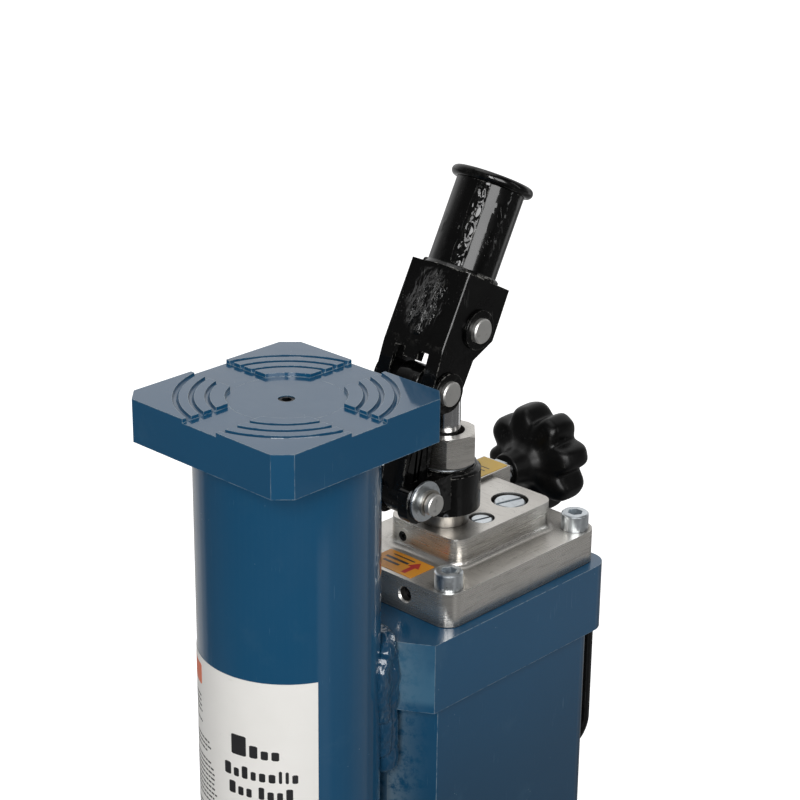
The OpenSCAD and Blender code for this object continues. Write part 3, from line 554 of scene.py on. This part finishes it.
# plain radius, extra radius of a lobe, y, how far a lobe bulges towards -y
KNOB_PROFILE = [
    (4.99, 0, 210.2, 0), (7.6, 0, 210.0, 0), (9.3, 0, 210.4, 0), (9.9, 0, 211.4, 0),
    (10.4, 0, 215, 0), (11.2, 0.1, 220, 0), (12.6, 0.2, 223.0, 0), (14.8, 0.6, 225.8, 0),
    (18.2, 1.4, 227.6, 0.2), (22.0, 3.0, 228.8, 0.3), (25.2, 4.9, 230.4, 0.3),
    (26.8, 6.1, 233.4, 0.1), (27.1, 6.5, 238.0, 0), (27.1, 6.5, 245.0, 0),
    (26.4, 6.1, 249.8, -0.1), (24.6, 4.9, 252.4, -0.3), (21.6, 3.0, 253.6, -0.3),
    (17.6, 1.2, 254.0, -0.2), (13.6, 0.3, 253.4, -0.1), (11.0, 0, 252.6, 0), (9.4, 0, 252.2, 0),
    (8.8, 0, 252.7, 0), (8.0, 0, 253.1, 0), (4.0, 0, KNOB_END, 0), (0.4, 0, KNOB_END, 0)]
KNOB_BORE = ((5.0, 210.2), (5.0, 230.0), (0.5, 230.4))  # radius, y


def catmull(p0, p1, p2, p3, t):
    return [0.5 * (2 * b + (c - a) * t + (2 * a - 5 * b + 4 * c - d) * t * t
                   + (3 * b - a - 3 * c + d) * t ** 3)
            for a, b, c, d in zip(p0, p1, p2, p3)]


def knob_point(radius, y, angle):
    return ((KNOB_X + radius * math.cos(angle)) * MM, y * MM,
            (KNOB_Z + radius * math.sin(angle)) * MM)


def make_knob():
    last = len(KNOB_PROFILE) - 1
    stations = []
    for i in range(last):
        around_here = [KNOB_PROFILE[min(max(i + k, 0), last)] for k in (-1, 0, 1, 2)]
        stations += [catmull(*around_here, k / KNOB_FILL) for k in range(KNOB_FILL)]
    stations.append(KNOB_PROFILE[-1])
    n = KNOB_SEGMENTS
    angles = [2 * math.pi * j / n for j in range(n)]
    rings = []
    for radius, extra, y, bulge in stations:
        ring = []
        for angle in angles:
            lobe = 0.5 * (1 + math.cos(KNOB_LOBES * (angle - math.radians(KNOB_LOBE_ANGLE))))
            lobe = 1 - (1 - lobe) ** 1.9  # wide lobes, narrow valleys
            ring.append(knob_point(radius + extra * (1.08 * lobe - 0.08), y - bulge * lobe, angle))
        rings.append(ring)
    verts, faces = tube(rings, capped=False)
    end_ring, end_centre = len(verts) - n, len(verts)
    verts.append((KNOB_X * MM, KNOB_END * MM, KNOB_Z * MM))
    faces += [(end_ring + j, end_ring + (j + 1) % n, end_centre) for j in range(n)]
    # the bore for the insert: an inner wall back to the mouth
    bore = len(verts)
    for radius, y in KNOB_BORE:
        verts += [knob_point(radius, y, angle) for angle in angles]
    for i in range(2):
        for j in range(n):
            a, b = bore + i * n + j, bore + i * n + (j + 1) % n
            faces.append((a, a + n, b + n, b))
    bottom = len(verts)
    verts.append((KNOB_X * MM, KNOB_BORE[-1][1] * MM, KNOB_Z * MM))
    faces += [(bore + 2 * n + j, bottom, bore + 2 * n + (j + 1) % n) for j in range(n)]
    faces += [(j, bore + j, bore + (j + 1) % n, (j + 1) % n) for j in range(n)]
    add_piece("star_knob_moulding", (verts, faces), KNOB, "knob", "star_knob")


make_knob()


# ------------------------------------------------------------------ welds
def bead(name, path, radius, pitch, lump, ring, step, seed, ripple, fine,
         material=BLUE_WELD_SHADED, body="housing"):
    """a welded bead along a path in mm

    pitch: length of a ripple; ripple: its depth; lump: size of the lumps; fine: share of
    small lumps; ring: points round the bead; step: spacing of the rings
    """
    corners = [Vector(p) for p in path]
    centres = []
    for a, b in zip(corners, corners[1:]):
        count = max(1, int((b - a).length / step))
        centres += [a.lerp(b, i / count) for i in range(count)]
    centres.append(corners[-1])
    total = len(centres)

    def taper(distance):
        return math.sqrt(max(0.02, distance / (radius * 0.8)))

    done = 0.0
    rings = []
    reference = Vector((0.31, 0.77, 0.13)).normalized()
    for i, p in enumerate(centres):
        along = (centres[min(i + 1, total - 1)] - centres[max(i - 1, 0)]).normalized()
        if i:
            done += (p - centres[i - 1]).length
        u = (reference - along * reference.dot(along)).normalized()
        v = along.cross(u)
        phase = (done / pitch + 0.35 * noise.noise(Vector((done * 0.05, seed, 3.1)))) % 1.0
        wave = 1.0 - ripple + ripple * math.sin(math.pi * phase) ** 0.7
        left = sum((centres[k + 1] - centres[k]).length for k in range(i, total - 1))
        end = min(1.0, taper(done), taper(left)) if i else 0.1
        swell = 1 + lump * 0.9 * noise.noise(Vector((done * 0.11, seed * 2 + 1.7, 0.4)))
        points = []
        for j in range(ring):
            a = 2 * math.pi * j / ring
            out = u * math.cos(a) + v * math.sin(a)
            q = Vector((math.cos(a) * 1.3, math.sin(a) * 1.3, done * 0.13 + seed * 9))
            r = radius * end * wave * swell * (
                1 + lump * noise.noise(q) + fine * lump * noise.noise(q * 2.6))
            points.append((p + out * r) * MM)
        rings.append(points)
    return add_piece(name, tube(rings), material, body)


def weld_pair(cad_name, beads):
    """the beads on both sides in x; the first stands in for the CAD weld"""
    for side, tag in SIDES:
        for suffix, radius, pitch, lump, ring, step, seed, ripple, fine, path in beads:
            bead(f"{cad_name}{suffix}_{tag}", [(side * x, y, z) for x, y, z in path],
                              radius, pitch, lump, ring, step, seed + side, ripple, fine)
    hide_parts(cad_name)


# name ending, radius, pitch, lump, ring, step, seed, ripple, fine, path on the +x side
weld_pair("tank_weld", [
    ("", 8.6, 19.0, 0.13, 48, 0.7, 1.0, 0.03, 0.35,
     [(28.2, 43.6, 138), (29.6, 42.6, 150), (30.2, 42.0, 168), (31.0, 41.2, 180),
      (31.2, 41.2, 200), (30.4, 41.8, 221.0)]),
    ("_lap", 5.6, 26.0, 0.22, 40, 0.6, 14.0, 0.03, 0.30,
     [(33.2, 37.0, 152), (34.6, 36.6, 163), (35.0, 36.2, 182), (35.2, 36.2, 205),
      (34.4, 37.4, 219.5)]),
    ("_toe", 4.7, 30.0, 0.20, 40, 0.6, 25.0, 0.02, 0.55,
     [(36.0, 34.8, 176), (38.8, 31.4, 186), (40.6, 29.0, 198), (40.4, 29.4, 210),
      (37.6, 34.0, 219.5)]),
    ("_toplay", 5.0, 15.0, 0.16, 32, 0.5, 4.0, 0.03, 0.25,
     [(17.0, 48.2, 221.0), (26, 45.0, 222.6), (33, 41.4, 223.2), (38.0, 36.0, 221.0),
      (40.2, 31.6, 215.0)]),
])
weld_pair("toe_weld", [
    ("", 5.6, 11.0, 0.18, 30, 0.7, 7.0, 0.05, 0.20,
     [(35.6, -37.4, 27), (35.8, -37.0, 60), (35.4, -37.2, 109)]),
])

# ------------------------------------------------------------------ lever socket
# The lever's frame: x as in the world, z along the socket, which leans towards +y
LEVER = Matrix.Translation((0, 123, 377.7)) @ Matrix.Rotation(math.radians(-28), 4, "X")
SOCKET_Y = -4  # the socket's axis in the lever's frame


def socket_point(radius, angle, z):
    return LEVER @ Vector((radius * math.cos(angle), SOCKET_Y + radius * math.sin(angle), z))


def make_socket_weld():
    """an open ring at the socket's foot, with its gap on the -y side"""
    half_gap = 0.75  # radians
    angles = np.linspace(-math.pi / 2 + half_gap, 1.5 * math.pi - half_gap, 90)
    bead("socket_weld", [socket_point(20.1, a, 27.1) for a in angles], radius=1.7, pitch=3.0,
         lump=0.25, ring=16, step=0.5, seed=12.0, ripple=0.10, fine=0.30,
         material=BLACK, body="lever")


def make_seam():
    """raised, lumpy seam along the socket, on its -y +x side"""
    rows, cols = 150, 26
    middle, half_width = math.radians(-62), math.radians(12)
    foot, length = 29.5, 46.0
    wall, sunk, lowest = 19.45, 0.25, 19.3
    fade_rows = 8  # rows over which each end rises
    verts = []
    for outer in (False, True):
        for i in range(rows + 1):
            z = foot + length * i / rows
            for j in range(cols + 1):
                s = j / cols * 2 - 1
                sway = 1 + 0.25 * noise.noise(Vector((z * 0.12, 2.0, 0)))
                radius = wall - sunk
                if outer:
                    rise = max(0.0, 1 - s * s) ** 0.6
                    rise *= min(1.0, i / fade_rows, (rows - i) / fade_rows)
                    lumps = noise.noise(Vector((s * 1.2, z * 0.19, 1.0)))
                    lumps += 0.3 * noise.noise(Vector((s * 2.4, z * 0.42, 4.0)))
                    radius = max(wall + rise * (0.55 + 1.1 * lumps), lowest)
                verts.append(socket_point(radius, middle + half_width * s * sway, z) * MM)
    add_piece("socket_seam", (verts, slab_faces(rows, cols)), BLACK_SMOOTH, "lever")


make_socket_weld()
make_seam()

# ------------------------------------------------------------------ print on the tube label
# Plain bars stand in for lettering. Angles are in degrees about Z, heights in mm.
PRINT_RADIUS = 49.5 + 0.3
PRINT_THICKNESS = 0.06


def print_patch(a0, a1, z0, z1, corner=0.0):
    """a thin curved panel on the label, with round corners if corner is set"""
    cols = max(3, int((a1 - a0) / 1.5) + 2) if corner else 2
    rows = 14 if corner else 2
    grid = []
    for i in range(cols + 1):
        s = i / cols
        angle = math.radians(a0 + (a1 - a0) * s)
        inset = 0.0
        if corner:
            d = min(s, 1 - s) * (a1 - a0) * math.pi / 180 * PRINT_RADIUS
            if d < corner:
                inset = corner - math.sqrt(max(0.0, corner * corner - (corner - d) ** 2))
        for j in range(rows + 1):
            z = (z0 + inset) + (z1 - z0 - 2 * inset) * j / rows
            grid.append((math.cos(angle), math.sin(angle), z))
    verts = [(x * radius * MM, y * radius * MM, z * MM)
             for radius in (PRINT_RADIUS, PRINT_RADIUS + PRINT_THICKNESS) for x, y, z in grid]
    return verts, slab_faces(cols, rows)


# start angle, foot, gap, block widths, block heights
WORDS = [
    (-81.8, 180.2, 0, [10.6], [12.0]),
    (-69.0, 180.4, 2.1, [5.4, 4.6, 4.8], [7.4, 5.2, 5.2]),
    (-87.4, 166.8, 2.1, [5.0, 3.8, 4.0, 3.4, 4.0, 4.2, 2.0, 2.0, 3.6],
     [7.4, 5.2, 7.4, 5.2, 5.2, 5.2, 7.4, 7.0, 5.2]),
    (-84.0, 156.0, 2.0, [4.8, 3.8, 3.6], [7.4, 5.2, 5.2]),
    (-63.2, 156.0, 2.0, [3.6, 4.0, 3.6, 4.2], [7.4, 5.2, 5.2, 7.4]),
]
# start angle, end angle, foot, top
LINES = [(-84, -50, 142.4, 143.8), (-84, -44, 138.6, 140.0), (-84, -56, 134.8, 136.2)]
# end angle of each row of small print, from the top down; 0 is an empty row
SMALL_ROW_ENDS = [-113, -113.5, -112, -113, 0, -113, 0, 0, -103, -101, -106, 0,
                  -100, -99, -98, -97.5, -97, -98, -96, -99, -97, 0, -100, -98]
LEFT_COLUMN = -150.0  # where the small print and the orange block start
SMALL_TOP, SMALL_PITCH, SMALL_HEIGHT, SMALL_GAP = 202.5, 3.0, 1.0, 0.9


def label_ink():
    parts = []
    for angle, foot, gap, widths, heights in WORDS:
        for width, height in zip(widths, heights):
            parts.append(print_patch(angle, angle + width, foot, foot + height, corner=0.5))
            angle += width + gap
    parts += [print_patch(*line, corner=0.4) for line in LINES]
    for row, end in enumerate(SMALL_ROW_ENDS):
        if not end:
            continue
        top = SMALL_TOP - SMALL_PITCH * row
        angle, count = LEFT_COLUMN, 0
        while angle < end - 1.0:
            width = 2.2 + 1.9 * (0.5 + 0.5 * math.sin(row * 3.7 + count * 2.3))
            width = min(width, end - angle)
            parts.append(print_patch(angle, angle + width, top - SMALL_HEIGHT, top))
            angle += width + SMALL_GAP
            count += 1
    return parts


def add_flat(name, parts, material, replaces=None):
    add_piece(name, join_parts(parts), material, replaces=replaces, smooth=False)


add_flat("label_print", label_ink(), INK)
add_flat("label_orange_block", [print_patch(LEFT_COLUMN, -112.5, 209.5, 221.5, corner=0.6)],
         ORANGE)

# ------------------------------------------------------------------ two level notices
FLANGE_Z = 241.05
FLANGE_TOP = FLANGE_Z + 0.2
FLANGE_PRINT_TOP = FLANGE_TOP + 0.05
VALVE_Z0, VALVE_Z1 = 260.25, 260.45
ARROW = [(6.2, 80.2), (9.4, 80.2), (9.4, 88.6), (12.0, 88.6), (7.8, 95.4), (3.6, 88.6),
         (6.2, 88.6)]  # x, y; points towards +y

add_flat("notice_flange", [plate(rounded(-18, 78, 16, 97.8, radius=0.8), FLANGE_Z, FLANGE_TOP)],
         NOTICE, replaces="notice_labels")
add_flat("notice_valve",
         [plate(rounded(-39.8, 173, -21, 201.6, radius=0.8), VALVE_Z0, VALVE_Z1)],
         NOTICE_YELLOW)
# y, start x, end x, width in y
add_flat("notice_print", [bar(x0, y, x1, y + width, FLANGE_TOP, FLANGE_PRINT_TOP)
                          for y, x0, x1, width in ((93.6, -12, 4, 1.1), (88.9, -14, 3, 2.0),
                                                   (84.4, -12, 0, 2.0))], INK)
add_flat("notice_arrow", [plate(ARROW, FLANGE_TOP, FLANGE_PRINT_TOP)], RED)
add_flat("notice_print_valve", [bar(-36, y, -25, y + 0.8, VALVE_Z1 + 0.01, VALVE_Z1 + 0.05)
                                for y in (177, 181, 185, 189)], INK)

# ------------------------------------------------------------------ camera
CAMERA_PLACE = (0.76712, -0.72352, 0.78354)
azimuth, elevation, roll = map(math.radians, (43.499, 21.649, 0.581))
VIEW = Vector((-math.sin(azimuth) * math.cos(elevation),
               math.cos(azimuth) * math.cos(elevation), -math.sin(elevation)))
RIGHT = Vector((math.cos(azimuth), math.sin(azimuth), 0))
TO_CAMERA = -Vector((VIEW.x, VIEW.y, 0)).normalized()  # level


def make_camera():
    up = RIGHT.cross(VIEW)
    rolled_right = RIGHT * math.cos(roll) + up * math.sin(roll)
    rolled_up = -RIGHT * math.sin(roll) + up * math.cos(roll)
    data = bpy.data.cameras.new("camera")
    data.lens = 98.96
    data.sensor_width = 36
    data.clip_start = 0.05
    data.clip_end = 50
    camera = bpy.data.objects.new("camera", data)
    bpy.context.scene.collection.objects.link(camera)
    rows = [row for row in zip(rolled_right, rolled_up, -VIEW, CAMERA_PLACE)]
    camera.matrix_world = Matrix((*rows, (0, 0, 0, 1)))
    bpy.context.scene.camera = camera


make_camera()


# ------------------------------------------------------------------ floor and world
def bearing(t, direction):
    """compass angle in degrees: 0 towards the camera, positive to its right"""
    parts = [t.vmath("DOT_PRODUCT", direction, tuple(axis)) for axis in (RIGHT, TO_CAMERA)]
    return t.times(t.math("ARCTAN2", *parts), 180 / math.pi)


def grey_by_bearing(t, angle, stops):
    """stops: (bearing, grey), from -180 to 180"""
    node = t.new("ValToRGB")
    t.put(node.inputs[0], t.math("DIVIDE", t.math("SUBTRACT", angle, -180), 360))
    node.color_ramp.interpolation = "EASE"
    elements = node.color_ramp.elements
    while len(elements) < len(stops):
        elements.new(0.5)
    for element, (degrees, grey) in zip(elements, stops):
        element.position = (degrees + 180) / 360
        element.color = (grey, grey, grey, 1)
    return node.outputs[0]


# greys that reflections see, by bearing: floor far off, floor near the jack, surroundings
FLOOR_FAR = [(-180, 0.50), (-137, 0.50), (-123, 0.30), (-115, 0.08), (-87, 0.12), (-60, 0.10),
             (0, 0.10), (60, 0.10), (92, 0.13), (112, 0.06), (117, 0.8), (131, 0.8),
             (135, 0.16), (180, 0.40)]
FLOOR_NEAR = [(-180, 0.90), (-130, 0.80), (-121, 0.50), (-113, 0.07), (-87, 0.22), (-60, 0.12),
              (18, 0.09), (36, 0.12), (42, 0.46), (51, 0.46), (57, 0.24), (84, 0.22),
              (92, 0.30), (115, 0.34), (121, 0.14), (180, 0.26)]
SURROUNDINGS = [(-180, 0.88), (-135, 0.88), (-112, 0.34), (-87, 0.11), (-55, 0.10), (0, 0.08),
                (70, 0.06), (100, 0.07), (118, 0.22), (138, 0.78), (180, 0.88)]


def make_floor():
    """pale floor; glossy rays see the dark and light zones of a table instead"""
    bpy.ops.mesh.primitive_plane_add(size=16, location=(0, 0, -0.0006))
    floor = bpy.context.object
    floor.name = "floor"
    material = bpy.data.materials.new("floor_paper")
    material.use_nodes = True
    t = Nodes(material.node_tree)
    output = t.new("OutputMaterial")
    rays = t.new("LightPath").outputs
    away = t.new("VectorMath")
    away.operation = "SCALE"
    away.inputs["Scale"].default_value = -1.0
    t.put(away.inputs[0], t.geometry("Incoming"))
    angle = bearing(t, away.outputs[0])
    far = grey_by_bearing(t, angle, FLOOR_FAR)
    near = grey_by_bearing(t, angle, FLOOR_NEAR)
    # the near zone ends 0.66 m out, further to the camera's right, and blends over 0.09 m
    distance = t.vmath("LENGTH", t.geometry("Position"))
    skewed = t.math("SUBTRACT", distance, t.times(angle, 0.0018))
    is_near = t.math("DIVIDE", t.math("SUBTRACT", 0.66, skewed), 0.09, clamp=True)
    near = t.mix(1.0, near, t.math("ADD", 0.36, distance), blend="MULTIPLY")
    mirrored = t.shader("Emission", t.mix(is_near, far, near))
    # paler for the camera than for the light it bounces
    mottle = t.new("TexNoise")
    mottle.inputs["Scale"].default_value = 3.0
    seen = rays["Is Camera Ray"]
    shade = t.math("ADD", t.times(mottle.outputs["Fac"], 0.03),
                   t.math("ADD", 0.48, t.times(seen, 0.42)))
    paper = t.shader("AddShader", t.shader("BsdfDiffuse", shade),
                     t.shader("Emission", None, t.times(seen, 0.85)))
    t.put(output.inputs[0], t.shader("MixShader", rays["Is Glossy Ray"], paper, mirrored))
    material.cycles.emission_sampling = "NONE"
    floor.data.materials.append(material)


def make_world():
    """soft white; in reflections bright behind the object and dim on the camera's side"""
    world = bpy.data.worlds.new("studio")
    bpy.context.scene.world = world
    world.use_nodes = True
    world.cycles.sampling_method = "NONE"
    t = Nodes(world.node_tree)
    output = t.new("OutputWorld")
    rays = t.new("LightPath").outputs
    angle = bearing(t, t.new("TexCoord").outputs["Generated"])
    mirrored = t.shader("Background", grey_by_bearing(t, angle, SURROUNDINGS))
    strength = t.math("ADD", 0.29, t.times(rays["Is Camera Ray"], 0.80))
    flat = t.shader("Background", (1, 1, 1), strength)
    t.put(output.inputs[0], t.shader("MixShader", rays["Is Glossy Ray"], flat, mirrored))


make_floor()
make_world()

# ------------------------------------------------------------------ lights
TARGET = Vector((0.0, 0.06, 0.25))


def around(angle, distance, height):
    """a place round the target: angle 0 towards the camera, positive to its right"""
    a = math.radians(angle)
    level = TO_CAMERA * math.cos(a) + RIGHT * math.sin(a)
    return TARGET + level * distance + Vector((0, 0, height))


def area(name, place, width, height, power):
    data = bpy.data.lights.new(name, "AREA")
    data.shape = "RECTANGLE"
    data.size = width
    data.size_y = height
    data.energy = power
    light = bpy.data.objects.new(name, data)
    bpy.context.scene.collection.objects.link(light)
    light.location = place
    light.rotation_mode = "QUATERNION"
    light.rotation_quaternion = (TARGET - place).to_track_quat("-Z", "Y")
    return light


area("key", around(angle=-8, distance=1.9, height=0.85), width=0.42, height=1.1, power=24.0)
area("fill_right", around(angle=20, distance=2.0, height=0.80), width=1.10, height=1.3, power=4.0)
area("strip_right", around(angle=78, distance=1.5, height=0.5), width=0.12, height=1.2, power=1.6)
area("top_softbox", TARGET + Vector((0, 0.1, 1.7)), width=1.2, height=1.2, power=5.5)
# just in front of fill_right, for highlights only
shine = area("fill_right_shine", around(angle=20, distance=1.94, height=0.79),
             width=1.05, height=1.25, power=34)
shine.visible_diffuse = False

view = bpy.context.scene.view_settings
view.view_transform = "Standard"
view.look = "None"
view.exposure = 0.0
view.gamma = 1.0
